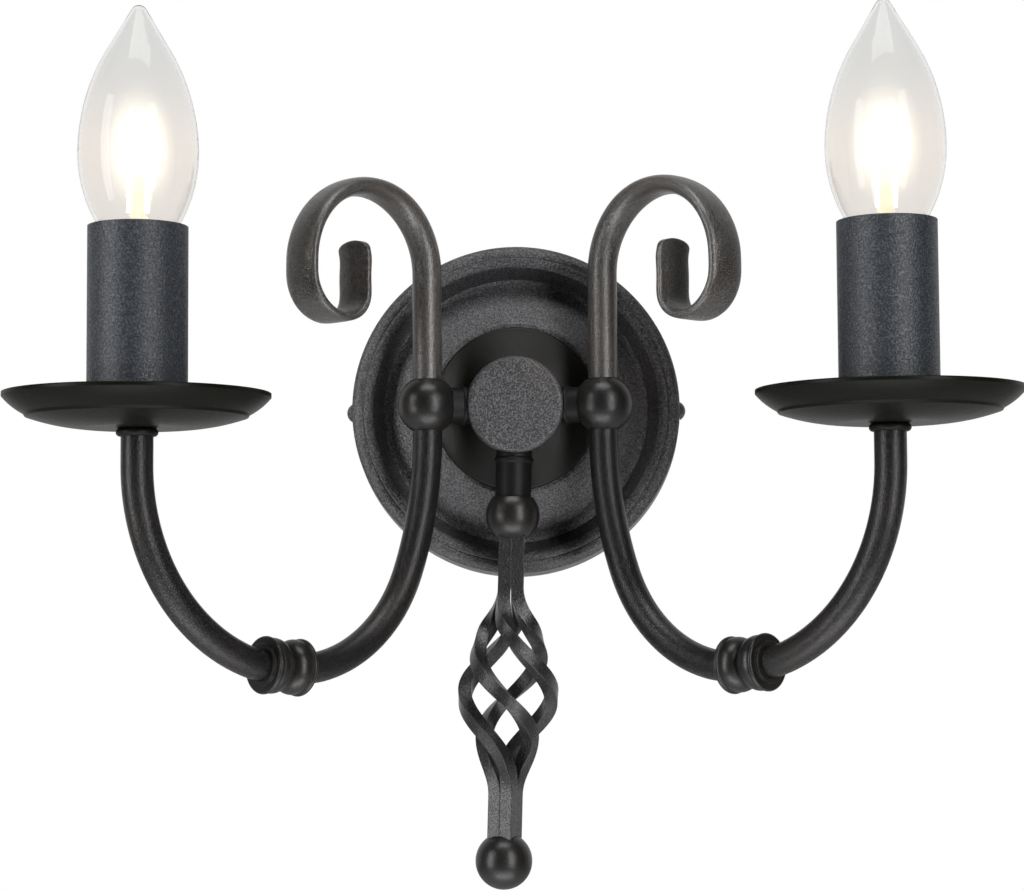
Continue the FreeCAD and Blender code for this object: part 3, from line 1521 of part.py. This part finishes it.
# Leads: from the block through the hub, a neck, a ball and the arm tube to the lampholder


def arm_edges(path, sign):
    """The edges of an arm tube's centre line, in the lamp's own frame."""
    place = placement_of(*arm_place(sign))
    edges = []
    for here, there in zip(path, path[1:]):
        first = FreeCAD.Vector(value_of(here[0]), value_of(here[1]), 0)
        second = FreeCAD.Vector(value_of(there[0]), value_of(there[1]), 0)
        start = place.multVec(FreeCAD.Vector(first.x, 0, first.y))
        stop = place.multVec(FreeCAD.Vector(second.x, 0, second.y))
        if len(here) == 2:
            edges.append(Part.LineSegment(start, stop).toShape())
            continue
        centre = circle_centre(first, second, here[2].value, here[3])
        outward = ((first + second) * 0.5 - centre).normalize()
        middle = centre + outward * here[2].value
        bend = Part.Arc(start, place.multVec(FreeCAD.Vector(middle.x, 0, middle.y)), stop)
        edges.append(bend.toShape())
    return edges


def lead_path(sign):
    apart = lamp.lead_apart.value * sign
    row = value_of(pole_rows()[-1 if sign > 0 else 0])
    mid = block_middle.value
    nipple_back = (lamp.canopy_floor_depth - lamp.canopy_wall - lamp.hub_nipple_tail).value
    corner_depth = (side_axis_depth + lamp.lead_apart * sine(lamp.neck_tilt) / cosine(lamp.neck_tilt)).value
    ball = FreeCAD.Vector(lamp.ball_out.value * sign, -lamp.ball_depth.value, 0)
    bend_down = FreeCAD.Vector(ball.x, ball.y, -lamp.arm_drop.value)
    corners = [
        FreeCAD.Vector((lamp.block_near + lamp.barrel_inset + lamp.lead_end_engage).value, -mid, row),
        FreeCAD.Vector(apart, -mid, row),
        FreeCAD.Vector(apart, -nipple_back, 0),
        FreeCAD.Vector(apart, -corner_depth, 0),
        ball,
        bend_down,
    ]
    radii = [
        lamp.lead_block_bend.value,
        lamp.lead_entry_bend.value,
        lamp.lead_hub_bend.value,
        lamp.lead_ball_bend.value,
    ]
    inner = INNER_PATH[1:5]
    outer = [
        (exit_out, exit_up, lamp.arm_kick_radius, 1),
        (kick_out, kick_up, lamp.arm_lift_radius, 1),
        (candle_reach, lift_up),
        (candle_reach, candle_level + holder_cup + lamp.lead_top),
    ]
    return bent_path(corners, radii) + arm_edges(inner + outer, sign)


def make_leads():
    for side, sign in SIDES:
        edges = lead_path(sign)
        lead = round_sweep(edges, lamp.lead_radius.value)
        length = sum(edge.Length for edge in edges)
        section = math.pi * lamp.lead_radius.value ** 2
        bends = ["%.1f" % edge.Curve.Radius for edge in edges if hasattr(edge.Curve, "Radius")]
        print("lamp_lead_" + side, "length %.1f" % length, "fill %.4f" % (lead.Volume / (section * length)))
        print("  bend radii", ", ".join(bends))
        pieces.append(coded("lamp_lead_" + side, lead, FreeCAD.Placement()))


make_leads()

# Check every object, then write each piece

document.recompute()
faults = []
for thing in document.Objects:
    if "Invalid" in thing.State or "Error" in thing.State:
        faults.append("%s is %s" % (thing.Label, thing.State))
for feature, before in cutting_features:
    if feature.Shape.isNull() or not feature.Shape.Volume < before:
        faults.append("%s cuts nothing" % feature.Label)
for piece in pieces:
    if piece.Shape.isNull() or not piece.Shape.isValid() or not piece.Shape.Volume > 0:
        faults.append("%s has no sound shape" % piece.Label)
if faults:
    raise RuntimeError("; ".join(faults))

os.makedirs("parts", exist_ok=True)
for piece in pieces:
    piece.Shape.exportStep(os.path.join("parts", piece.Label + ".step"))
print("wrote", len(pieces), "pieces")
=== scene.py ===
import json
import math

import bpy
from mathutils import Matrix, Vector

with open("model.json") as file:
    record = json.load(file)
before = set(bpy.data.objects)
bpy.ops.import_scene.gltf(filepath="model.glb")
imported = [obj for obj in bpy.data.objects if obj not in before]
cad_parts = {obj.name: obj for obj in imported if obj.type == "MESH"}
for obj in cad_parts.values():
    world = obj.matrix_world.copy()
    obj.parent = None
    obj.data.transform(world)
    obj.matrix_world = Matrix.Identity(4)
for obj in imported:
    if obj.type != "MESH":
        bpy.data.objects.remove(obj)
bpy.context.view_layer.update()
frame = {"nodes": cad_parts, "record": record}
nodes = frame["nodes"]
for loaded in nodes.values():
    loaded.select_set(False)

MM = 0.001

# The photograph's frame and the camera that was fitted to it
PHOTO_WIDTH = 1024
FOCAL_PIXELS = 2400
SENSOR_WIDTH = 36.0
CAMERA_PLACE = Vector((6.75, -804.84, -66.36)) * MM
CAMERA_PITCH = math.radians(3.98)
CAMERA_YAW = math.radians(-0.59)
CAMERA_ROLL = math.radians(-0.35)
NEAREST_SEEN = 0.01
FARTHEST_SEEN = 20

# Soft boxes: where each one stands, its width and height in metres, and its power in watts
LIGHT_TARGET = (0, -0.06, -0.02)
SOFTBOXES = {
    "softbox_right": ((0.66, -1.05, 0.12), 0.34, 1.4, 13),
    "softbox_left": ((-1.03, -0.73, 0.12), 0.36, 1.4, 13),
    "softbox_over": ((0, -0.45, 1.2), 0.9, 0.45, 9),
    "softbox_low": ((0, -0.42, -0.84), 0.9, 0.4, 5),
}

# The room: dim on the photographer's side, turning white behind the lamp
ROOM_DIM = 0.035
ROOM_WHITE = 0.95
ROOM_TURN = 0.6
FLOOR_HEIGHT = -0.9
FLOOR_SIZE = 6
FLOOR_GREY = 0.9
FLOOR_ROUGHNESS = 0.9


def make_camera():
    forward = Vector((
        math.sin(CAMERA_YAW) * math.cos(CAMERA_PITCH),
        math.cos(CAMERA_YAW) * math.cos(CAMERA_PITCH),
        math.sin(CAMERA_PITCH),
    ))
    level = Vector((math.cos(CAMERA_YAW), -math.sin(CAMERA_YAW), 0))
    upright = level.cross(forward)
    right = level * math.cos(CAMERA_ROLL) + upright * math.sin(CAMERA_ROLL)
    up = upright * math.cos(CAMERA_ROLL) - level * math.sin(CAMERA_ROLL)
    turn = Matrix((right, up, -forward)).transposed()
    lens = bpy.data.cameras.new("photo_camera")
    lens.sensor_width = SENSOR_WIDTH
    lens.sensor_fit = "HORIZONTAL"
    lens.lens = FOCAL_PIXELS * SENSOR_WIDTH / PHOTO_WIDTH
    lens.clip_start = NEAREST_SEEN
    lens.clip_end = FARTHEST_SEEN
    camera = bpy.data.objects.new("photo_camera", lens)
    camera.matrix_world = Matrix.Translation(CAMERA_PLACE) @ turn.to_4x4()
    bpy.context.scene.collection.objects.link(camera)
    bpy.context.scene.camera = camera


def add_softbox(name, place, width, height, power):
    """A soft box aimed at the lamp. It isn't seen itself, nor through the bulbs' glass."""
    bpy.ops.object.light_add(type="AREA", location=place)
    softbox = bpy.context.object
    softbox.name = name
    softbox.data.shape = "RECTANGLE"
    softbox.data.size = width
    softbox.data.size_y = height
    softbox.data.energy = power
    aim = Vector(LIGHT_TARGET) - Vector(place)
    softbox.rotation_euler = aim.to_track_quat("-Z", "Y").to_euler()
    softbox.visible_camera = False
    softbox.visible_transmission = False
    softbox.select_set(False)


def make_room():
    """White behind the lamp and dim on the photographer's side. The camera sees plain white."""
    world = bpy.data.worlds.new("studio_room")
    bpy.context.scene.world = world
    world.use_nodes = True
    tree = world.node_tree
    tree.nodes.clear()
    output = tree.nodes.new("ShaderNodeOutputWorld")
    room = tree.nodes.new("ShaderNodeBackground")
    white = tree.nodes.new("ShaderNodeBackground")
    white.inputs["Color"].default_value = (1, 1, 1, 1)
    white.inputs["Strength"].default_value = 1.0
    way = tree.nodes.new("ShaderNodeTexCoord")
    parts = tree.nodes.new("ShaderNodeSeparateXYZ")
    backward = tree.nodes.new("ShaderNodeMapRange")
    backward.interpolation_type = "SMOOTHSTEP"
    backward.inputs["From Min"].default_value = 0.0
    backward.inputs["From Max"].default_value = ROOM_TURN
    backward.inputs["To Min"].default_value = ROOM_DIM
    backward.inputs["To Max"].default_value = ROOM_WHITE
    tree.links.new(way.outputs["Generated"], parts.inputs[0])
    tree.links.new(parts.outputs["Y"], backward.inputs["Value"])
    tree.links.new(backward.outputs[0], room.inputs["Strength"])
    rays = tree.nodes.new("ShaderNodeLightPath")
    either = tree.nodes.new("ShaderNodeMath")
    either.operation = "MAXIMUM"
    mix = tree.nodes.new("ShaderNodeMixShader")
    tree.links.new(rays.outputs["Is Camera Ray"], either.inputs[0])
    tree.links.new(rays.outputs["Is Transmission Ray"], either.inputs[1])
    tree.links.new(either.outputs[0], mix.inputs["Fac"])
    tree.links.new(room.outputs[0], mix.inputs[1])
    tree.links.new(white.outputs[0], mix.inputs[2])
    tree.links.new(mix.outputs[0], output.inputs["Surface"])


make_camera()
for name, (place, width, height, power) in SOFTBOXES.items():
    add_softbox(name, place, width, height, power)
make_room()

# Materials


class Recipe:
    """A material's node tree, with short ways to add and link nodes."""

    def __init__(self, name):
        self.material = bpy.data.materials.new(name)
        self.material.use_nodes = True
        self.tree = self.material.node_tree
        self.shader = self.tree.nodes["Principled BSDF"]
        place = self.tree.nodes.new("ShaderNodeTexCoord")
        self.place = place.outputs["Object"]

    def set(self, **values):
        for name, value in values.items():
            self.shader.inputs[name.replace("_", " ")].default_value = value

    def link(self, source, name):
        self.tree.links.new(source, self.shader.inputs[name])

    def noise(self, scale, detail=2.0, roughness=0.5):
        node = self.tree.nodes.new("ShaderNodeTexNoise")
        node.inputs["Scale"].default_value = scale
        node.inputs["Detail"].default_value = detail
        node.inputs["Roughness"].default_value = roughness
        self.tree.links.new(self.place, node.inputs["Vector"])
        return node.outputs["Fac"]

    def height(self):
        """The height above the lamp's middle, in metres."""
        node = self.tree.nodes.new("ShaderNodeSeparateXYZ")
        self.tree.links.new(self.place, node.inputs[0])
        return node.outputs["Z"]

    def ramp(self, source, *stops):
        node = self.tree.nodes.new("ShaderNodeValToRGB")
        ramp = node.color_ramp
        while len(ramp.elements) < len(stops):
            ramp.elements.new(0.5)
        for element, (spot, color) in zip(ramp.elements, stops):
            element.position = spot
            element.color = (*color, 1)
        self.tree.links.new(source, node.inputs["Fac"])
        return node.outputs["Color"]

    def blend(self, share, first, second):
        """The first colour where the share is nought, and the second where it is one."""
        node = self.tree.nodes.new("ShaderNodeMix")
        node.data_type = "RGBA"
        node.blend_type = "MIX"
        self.tree.links.new(share, node.inputs[0])
        self.tree.links.new(first, node.inputs[6])
        node.inputs[7].default_value = (*second, 1)
        return node.outputs[2]

    def spread(self, source, low, high, from_low=0.3, from_high=0.7):
        """A source's range, spread from low to high."""
        node = self.tree.nodes.new("ShaderNodeMapRange")
        node.inputs["From Min"].default_value = from_low
        node.inputs["From Max"].default_value = from_high
        node.inputs["To Min"].default_value = low
        node.inputs["To Max"].default_value = high
        self.tree.links.new(source, node.inputs["Value"])
        return node.outputs["Result"]

    def product(self, first, second):
        node = self.tree.nodes.new("ShaderNodeMath")
        node.operation = "MULTIPLY"
        self.tree.links.new(first, node.inputs[0])
        self.tree.links.new(second, node.inputs[1])
        return node.outputs[0]

    def rounded_edges(self, radius):
        node = self.tree.nodes.new("ShaderNodeBevel")
        node.samples = 6
        node.inputs["Radius"].default_value = radius
        return node.outputs["Normal"]

    def bump(self, *layers, normal=None):
        """Stacked bumps: each layer is a height, its depth in metres and its strength."""
        for height, depth, strength in layers:
            node = self.tree.nodes.new("ShaderNodeBump")
            node.inputs["Distance"].default_value = depth
            node.inputs["Strength"].default_value = strength
            self.tree.links.new(height, node.inputs["Height"])
            if normal is not None:
                self.tree.links.new(normal, node.inputs["Normal"])
            normal = node.outputs["Normal"]
        self.link(normal, "Normal")


# The black coats: grains and patches to the metre, depths in millimetres
GRAINS = 1750
PEEL = 420
PEEL_DEPTH = 0.05
PATCHES = 34
PATCH_STARTS = 0.48
PATCH_IS_FULL = 0.72
PIT_BELOW = 0.36
COAT_AT = 0.52
TIP_ABOVE = 0.66
TIP_SHARE = 0.3
COAT_EDGE = 0.4
RUBBED_BROWN = (0.085, 0.052, 0.036)


def black_coat(name, dark, pale, roughness, shine, grain_depth, grains=GRAINS, warmth=0.0, gloss=0.04):
    """Black coat: dark pits and paler, glossier tips, a soft orange peel, and warm patches where it is rubbed."""
    recipe = Recipe(name)
    grain = recipe.noise(grains, 2.0, 0.6)
    peel = recipe.noise(PEEL, 1.0, 0.5)
    patches = recipe.noise(PATCHES, 3.0, 0.6)
    middle = tuple(low * (1 - TIP_SHARE) + high * TIP_SHARE for low, high in zip(dark, pale))
    grainy = recipe.ramp(grain, (PIT_BELOW, dark), (COAT_AT, middle), (TIP_ABOVE, pale))
    worn = recipe.ramp(patches, (PATCH_STARTS, (0, 0, 0)), (PATCH_IS_FULL, (warmth, warmth, warmth)))
    recipe.link(recipe.blend(worn, grainy, RUBBED_BROWN), "Base Color")
    recipe.link(recipe.spread(grain, roughness + gloss, roughness - gloss), "Roughness")
    recipe.set(Specular_IOR_Level=shine)
    edges = recipe.rounded_edges(COAT_EDGE * MM)
    recipe.bump((peel, PEEL_DEPTH * MM, 1.0), (grain, grain_depth * MM, 1.0), normal=edges)
    return recipe.material


# Plated metal and moulded plastic: a faint grain, its low spots darker
FAINT_DEPTH = 0.02
FAINT_STRENGTH = 0.3
METAL_GRAINS = 600
METAL_LOW = 0.82
METAL_EDGE = 0.2
PLASTIC_GRAINS = 1400
PLASTIC_LOW = 0.85
PLASTIC_EDGE = 0.3


def plain_metal(name, color, roughness):
    recipe = Recipe(name)
    grain = recipe.noise(METAL_GRAINS, 3.0, 0.6)
    low = tuple(channel * METAL_LOW for channel in color)
    recipe.link(recipe.ramp(grain, (0.35, low), (0.65, color)), "Base Color")
    recipe.set(Metallic=1.0)
    recipe.link(recipe.spread(grain, roughness - 0.05, roughness + 0.08), "Roughness")
    edges = recipe.rounded_edges(METAL_EDGE * MM)
    recipe.bump((grain, FAINT_DEPTH * MM, FAINT_STRENGTH), normal=edges)
    return recipe.material


def moulded(name, color, roughness):
    recipe = Recipe(name)
    grain = recipe.noise(PLASTIC_GRAINS, 2.0, 0.5)
    low = tuple(channel * PLASTIC_LOW for channel in color)
    recipe.link(recipe.ramp(grain, (0.35, low), (0.65, color)), "Base Color")
    recipe.link(recipe.spread(grain, roughness - 0.04, roughness + 0.06), "Roughness")
    edges = recipe.rounded_edges(PLASTIC_EDGE * MM)
    recipe.bump((grain, FAINT_DEPTH * MM, FAINT_STRENGTH), normal=edges)
    return recipe.material


# The bulb's glass, by height above the lamp's middle in metres
GLASS_FOOT = 0.045
GLASS_NOSE = 0.105
# Painted glow: the heights over which the glass's emission rises and fades around the wire
GLOW_RISES = (0.050, 0.066)
GLOW_FADES = (0.072, 0.088)
# Painted light in the glass's tint: warmest and brightest at the wire's height, greyer shade at the foot and the
# nose
FOOT_SHADE_TINT = (0.885, 0.865, 0.840)
BELLY_WIRE_LIGHT_TINT = (0.925, 0.895, 0.860)
NOSE_SHADE_TINT = (0.850, 0.848, 0.838)
GLOW_TINT = (0.22, 0.20, 0.16)
GLOW_EDGE = 0.15


def bulb_glass():
    """Clear glass, with painted light in its tint: warmer at the wire's height and greyer at the nose. A painted
    glow, strongest where the glass faces the viewer, stands in for the bright wire's bloom.
    """
    recipe = Recipe("bulb_clear_glass")
    ripple = recipe.noise(70, 2.0, 0.5)
    height = recipe.height()
    climb = recipe.spread(height, 0, 1, GLASS_FOOT, GLASS_NOSE)
    # Painted light and shade: the tint climbs from the foot's grey through the wire's warm light to the nose's
    # grey
    tint = recipe.ramp(climb, (0.0, FOOT_SHADE_TINT), (0.4, BELLY_WIRE_LIGHT_TINT), (0.8, NOSE_SHADE_TINT))
    recipe.link(tint, "Base Color")
    recipe.set(Roughness=0.06, Transmission_Weight=1.0, IOR=1.22)
    # Painted glow: emission strongest where the glass faces the viewer, in place of the bright wire's bloom
    facing = recipe.tree.nodes.new("ShaderNodeLayerWeight")
    facing.inputs["Blend"].default_value = 0.5
    glow = recipe.spread(facing.outputs["Facing"], 1, 0, 0.0, GLOW_EDGE)
    glow = recipe.product(glow, recipe.spread(height, 0, 1, *GLOW_RISES))
    glow = recipe.product(glow, recipe.spread(height, 1, 0, *GLOW_FADES))
    recipe.link(recipe.ramp(glow, (0.0, (0, 0, 0)), (1.0, GLOW_TINT)), "Emission Color")
    recipe.set(Emission_Strength=1.0)
    recipe.bump((ripple, 0.2 * MM, 0.15))
    return recipe.material


def stem_glass():
    """Pinched glass that carries the wire, a little yellow, with painted light from the wire as emission."""
    recipe = Recipe("stem_glass")
    ripple = recipe.noise(220, 2.0, 0.5)
    tint = recipe.ramp(ripple, (0.3, (0.96, 0.90, 0.74)), (0.7, (1.0, 0.97, 0.88)))
    # Painted light: the stem's emission stands in for the wire's light falling on it
    glow = recipe.ramp(ripple, (0.3, (0.40, 0.33, 0.19)), (0.7, (0.55, 0.49, 0.34)))
    recipe.link(tint, "Base Color")
    recipe.set(Roughness=0.15, Transmission_Weight=0.8, IOR=1.45)
    recipe.link(glow, "Emission Color")
    recipe.set(Emission_Strength=0.5)
    recipe.bump((ripple, 0.3 * MM, 0.3))
    return recipe.material


def glowing_wire():
    recipe = Recipe("glowing_wire")
    flow = recipe.noise(300, 2.0, 0.5)
    heat = recipe.ramp(flow, (0.3, (1.0, 0.78, 0.5)), (0.7, (1.0, 0.9, 0.7)))
    recipe.link(heat, "Emission Color")
    recipe.set(Emission_Strength=25.0, Roughness=0.5)
    return recipe.material


sanded = black_coat(
    "sanded_black", dark=(0.0008, 0.0008, 0.0010), pale=(0.102, 0.101, 0.109),
    roughness=0.38, shine=0.60, grain_depth=0.30, warmth=0.15, gloss=0.13)
glossy = black_coat(
    "glossy_black", dark=(0.0030, 0.0028, 0.0024), pale=(0.011, 0.0105, 0.010),
    roughness=0.35, shine=0.42, grain_depth=0.03, warmth=0.08)
coats = {
    "sleeve": black_coat(
        "sanded_blue_black", dark=(0.003, 0.0045, 0.0075), pale=(0.050, 0.058, 0.071),
        roughness=0.44, shine=0.48, grain_depth=0.20, gloss=0.10),
    # The pans' coat is partly a real smoother satin finish and partly painted shade: its near-black base stands
    # in for the shade on their undersides
    "pan": black_coat(
        "satin_black_and_painted_shade", dark=(0.0030, 0.0032, 0.0018), pale=(0.0050, 0.0052, 0.0034),
        roughness=0.38, shine=0.10, grain_depth=0.02),
    # The cone's coat is partly a real smoother satin finish and partly painted shade: its near-black base stands
    # in for the shade around the boss
    "hub_cone": black_coat(
        "satin_cone_black_and_painted_shade", dark=(0.0022, 0.0022, 0.0010), pale=(0.0045, 0.0043, 0.0026),
        roughness=0.42, shine=0.25, grain_depth=0.02),
    "scroll": black_coat(
        "rubbed_black", dark=(0.010, 0.0093, 0.0086), pale=(0.115, 0.108, 0.101),
        roughness=0.33, shine=0.80, grain_depth=0.12, grains=1900, warmth=0.3, gloss=0.10),
    "arm": black_coat(
        "drawn_tube_black", dark=(0.0008, 0.0008, 0.0008), pale=(0.027, 0.027, 0.028),
        roughness=0.33, shine=0.30, grain_depth=0.11, grains=1900, warmth=0.1, gloss=0.10),
    "finial_bar": black_coat(
        "barred_black", dark=(0.0010, 0.0010, 0.0010), pale=(0.030, 0.030, 0.031),
        roughness=0.30, shine=0.62, grain_depth=0.14, grains=2000, gloss=0.09),
    "knuckle": glossy,
    "ball": glossy,
    "finial_ball": glossy,
}
# Painted shade: a near-black, dull coat for the necks and the pans' collars, standing in for the shadow they sit
# in
painted_shade_coat = black_coat(
    "painted_shade_black", dark=(0.0020, 0.0020, 0.0018), pale=(0.0040, 0.0040, 0.0036),
    roughness=0.5, shine=0.2, grain_depth=0.02)
coats["pan_collar"] = painted_shade_coat
coats["stub"] = painted_shade_coat
finishes = {
    "zinc_steel": plain_metal("zinc_plate", (0.62, 0.62, 0.6), 0.38),
    "brass": plain_metal("turned_brass", (0.78, 0.56, 0.24), 0.3),
    "nickel": plain_metal("nickel_plate", (0.75, 0.73, 0.69), 0.2),
    "black_plastic": moulded("black_holder_plastic", (0.03, 0.03, 0.03), 0.5),
    "white_plastic": moulded("white_block_plastic", (0.82, 0.82, 0.8), 0.45),
    "clear_glass": bulb_glass(),
    "stem_glass": stem_glass(),
    "glow_wire": glowing_wire(),
    "lead_sheath": moulded("lead_sheath", (0.78, 0.77, 0.72), 0.5),
}


def dress(thing, material):
    thing.data.materials.clear()
    thing.data.materials.append(material)


def coat_of(node):
    """The coat of a painted piece, by the longest kind of piece that its name starts with."""
    kinds = [kind for kind in coats if node.startswith(kind)]
    return coats[max(kinds, key=len)] if kinds else sanded


for entry in frame["record"]["subparts"]:
    node = entry["node"]
    dress(nodes[node], finishes.get(entry["material_slot"]) or coat_of(node))

# Stage and finish


def make_floor():
    """A plain pale floor well below the lamp."""
    bpy.ops.mesh.primitive_plane_add(size=FLOOR_SIZE, location=(0, 0, FLOOR_HEIGHT))
    floor = bpy.context.object
    floor.name = "floor"
    recipe = Recipe("pale_floor")
    recipe.set(Base_Color=(FLOOR_GREY, FLOOR_GREY, FLOOR_GREY, 1), Roughness=FLOOR_ROUGHNESS)
    rays = recipe.tree.nodes.new("ShaderNodeLightPath")
    white = recipe.tree.nodes.new("ShaderNodeEmission")
    white.inputs["Color"].default_value = (1, 1, 1, 1)
    mix = recipe.tree.nodes.new("ShaderNodeMixShader")
    output = recipe.tree.nodes["Material Output"]
    recipe.tree.links.new(rays.outputs["Is Camera Ray"], mix.inputs["Fac"])
    recipe.tree.links.new(recipe.shader.outputs[0], mix.inputs[1])
    recipe.tree.links.new(white.outputs[0], mix.inputs[2])
    recipe.tree.links.new(mix.outputs[0], output.inputs["Surface"])
    dress(floor, recipe.material)
    floor.select_set(False)


make_floor()
bpy.context.scene.view_settings.view_transform = "Standard"
